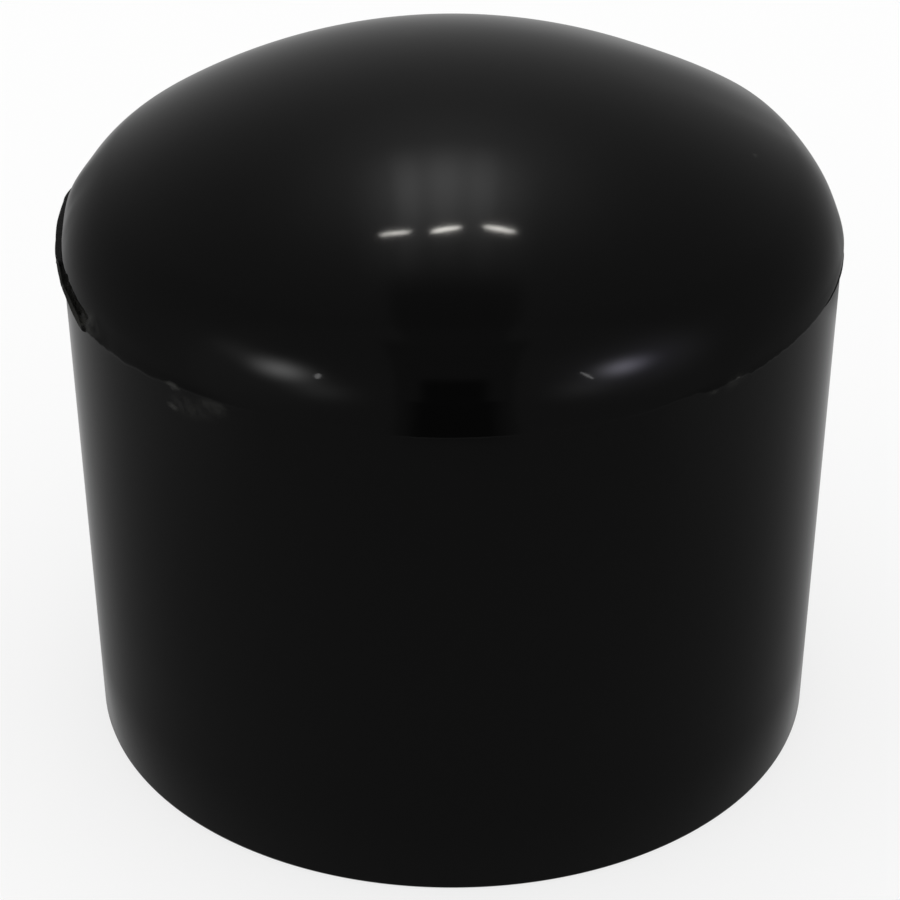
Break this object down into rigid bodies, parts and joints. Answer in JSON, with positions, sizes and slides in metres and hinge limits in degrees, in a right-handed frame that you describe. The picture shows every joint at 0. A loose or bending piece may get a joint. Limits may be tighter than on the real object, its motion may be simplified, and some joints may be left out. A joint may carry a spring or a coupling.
{
  "type": "tube end cap",
  "caption": "Domed push-on cap for the end of a round tube: drafted skirt, rolled shoulder, domed crown, open bore with a flat tube stop.",
  "frame": {"origin": "centre of the open rim, on the axis of the bore", "axes": "+Z along the bore's axis from the open rim to the top of the dome; the flash stands out round -X, and -Y is the side seen from the front"},
  "size_m": [0.0552, 0.0544, 0.05],
  "materials": {
    "black_polyethylene": "gloss moulded black polyethylene, a little duller on the skirt, with a witness line and flash at the parting line"
  },
  "bodies": {
    "root": {"end_cap": "black_polyethylene"}
  },
  "joints": []
}
